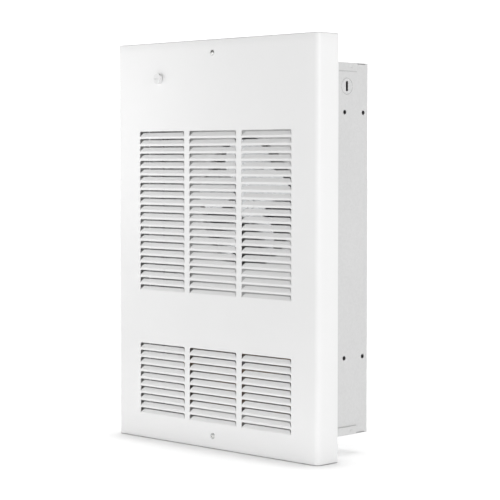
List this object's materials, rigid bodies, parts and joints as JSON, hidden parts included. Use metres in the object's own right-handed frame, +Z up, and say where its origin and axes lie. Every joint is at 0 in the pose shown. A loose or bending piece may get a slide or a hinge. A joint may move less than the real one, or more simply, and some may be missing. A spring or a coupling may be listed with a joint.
{
  "type": "wall fan heater",
  "caption": "Recessed fan-forced wall heater: white louvred cover over a steel box with fan, motor, finned element, thermostat and wiring.",
  "frame": {"origin": "middle of the flat back face of the recessed box", "axes": "+Y into the wall, so the louvred front faces -Y; +Z up; +X to the right of someone facing the heater"},
  "size_m": [0.454, 0.1535, 0.65],
  "materials": {
    "white_enamel": "satin white powder coat",
    "galvanised": "galvanised sheet with a fine spangle",
    "zinc": "bright zinc plate",
    "motor_steel": "plain rolled steel",
    "core_steel": "stacked dark steel laminations",
    "coil_copper": "enamelled copper wire",
    "bush_bronze": "sintered bronze",
    "fan_aluminium": "stamped sheet, satin",
    "sheath": "heat-darkened sheath",
    "fin_steel": "thin bright fins",
    "ceramic": "unglazed ceramic, off white",
    "phenolic": "moulded, cream",
    "white_plastic": "moulded, satin white",
    "black_plastic": "moulded, black",
    "red_plastic": "moulded, red",
    "green_screw": "green plated",
    "red_wire": "insulated lead, red",
    "black_wire": "insulated lead, black",
    "white_wire": "insulated lead, white"
  },
  "bodies": {
    "heater": {"front_cover": "white_enamel", "cover_screws": "zinc", "cover_bracket_top": "galvanised", "cover_bracket_bottom": "galvanised", "box_wrap": "galvanised", "box_top_cap": "galvanised", "box_bottom_cap": "galvanised", "knockout_slug": "galvanised", "supply_bushing": "black_plastic", "deck_brackets": "galvanised", "fan_deck": "galvanised", "deck_screws": "zinc", "wiring_partition": "galvanised", "partition_grommets": "black_plastic", "air_divider": "galvanised", "control_panel": "galvanised", "motor_strap": "galvanised", "strap_screws": "zinc", "motor_bolts": "zinc", "motor_nuts": "zinc", "motor_front_bell": "motor_steel", "motor_rear_bell": "motor_steel", "motor_can": "motor_steel", "stator_core": "core_steel", "stator_coils": "coil_copper", "motor_bushes": "bush_bronze", "element_frame": "galvanised", "element_screws": "zinc", "element_tube": "sheath", "element_fins": "fin_steel", "element_insulators": "ceramic", "element_pins": "zinc", "thermostat_body": "phenolic", "thermostat_nut": "zinc", "thermostat_bracket": "galvanised", "thermostat_screws": "zinc", "switch_body": "black_plastic", "terminal_block": "phenolic", "terminal_screws": "zinc", "ground_screw": "green_screw", "high_limit": "black_plastic", "limit_rivets": "zinc", "supply_leads": "black_wire", "thermostat_leads": "red_wire", "element_leads": "red_wire", "motor_leads": "white_wire"},
    "fan_rotor": {"motor_shaft": "zinc", "rotor_core": "core_steel", "fan_blades": "fan_aluminium", "fan_set_screw": "core_steel"},
    "thermostat_dial": {"thermostat_knob": "white_plastic", "thermostat_spindle": "zinc"},
    "rocker": {"switch_rocker": "black_plastic"},
    "reset": {"reset_button": "red_plastic"}
  },
  "joints": [
    {"name": "fan_spin", "type": "hinge", "parent": "heater", "child": "fan_rotor", "pos_m": [0, -0.066, 0.07], "axis": [0, 1, 0], "continuous": true},
    {"name": "thermostat_turn", "type": "hinge", "parent": "heater", "child": "thermostat_dial", "pos_m": [-0.124, -0.15, 0.2705], "axis": [0, 1, 0], "range_deg": [-140, 140]},
    {"name": "rocker_flip", "type": "hinge", "parent": "heater", "child": "rocker", "pos_m": [-0.02, -0.086, 0.243], "axis": [1, 0, 0], "range_deg": [0, 20]},
    {"name": "reset_press", "type": "slide", "parent": "heater", "child": "reset", "axis": [0, 1, 0], "range_m": [0, 0.002], "stiffness_N_per_m": 200, "springref_m": -0.0005}
  ]
}
